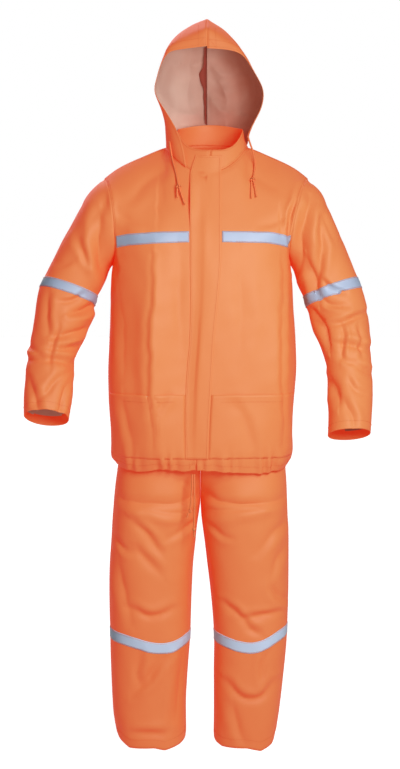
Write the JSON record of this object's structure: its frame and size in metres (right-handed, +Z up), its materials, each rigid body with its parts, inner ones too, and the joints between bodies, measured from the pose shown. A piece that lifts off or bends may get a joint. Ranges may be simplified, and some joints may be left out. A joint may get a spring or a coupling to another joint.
{
  "type": "rain suit",
  "caption": "Hi-vis two-piece rain suit, worn and filled out: hooded jacket with storm flap, drawcords and reflective tape, and straight loose trousers",
  "frame": {"origin": "middle of the shoulders at the base of the neck, where the wearer's shoulders hold the suit up", "axes": "+Z up, the suit's front faces -Y, +X is the wearer's left"},
  "size_m": [0.788, 0.2913, 1.6509],
  "materials": {
    "coated_cloth": "smooth PVC-coated cloth, hi-vis orange, soft sheen",
    "reflective_tape": "silver-grey retroreflective tape",
    "drawcord": "braided orange cord",
    "cord_end": "small orange bead"
  },
  "bodies": {
    "root": {"jacket_front_right": "coated_cloth", "jacket_front_left": "coated_cloth", "jacket_back": "coated_cloth", "sleeve_right": "coated_cloth", "sleeve_left": "coated_cloth", "hood_right": "coated_cloth", "hood_left": "coated_cloth", "collar": "coated_cloth", "storm_flap": "coated_cloth", "pocket_right": "coated_cloth", "pocket_left": "coated_cloth", "trousers_front_right": "coated_cloth", "trousers_front_left": "coated_cloth", "trousers_back_right": "coated_cloth", "trousers_back_left": "coated_cloth", "waistband": "coated_cloth", "tape_chest_right": "reflective_tape", "tape_chest_left": "reflective_tape", "tape_back": "reflective_tape", "tape_sleeve_right": "reflective_tape", "tape_sleeve_left": "reflective_tape", "tape_leg_right": "reflective_tape", "tape_leg_left": "reflective_tape", "hood_cord_left": "drawcord", "hood_tail_left_a": "drawcord", "hood_tail_left_b": "drawcord", "hood_cord_right": "drawcord", "hood_tail_right_a": "drawcord", "hood_tail_right_b": "drawcord", "hem_cord_short": "drawcord", "hem_tail_short": "drawcord", "hem_cord_long": "drawcord", "hem_tail_long": "drawcord", "hood_knot_left": "drawcord", "hood_knot_right": "drawcord", "hem_knot": "drawcord", "hem_bead": "cord_end"}
  },
  "joints": []
}
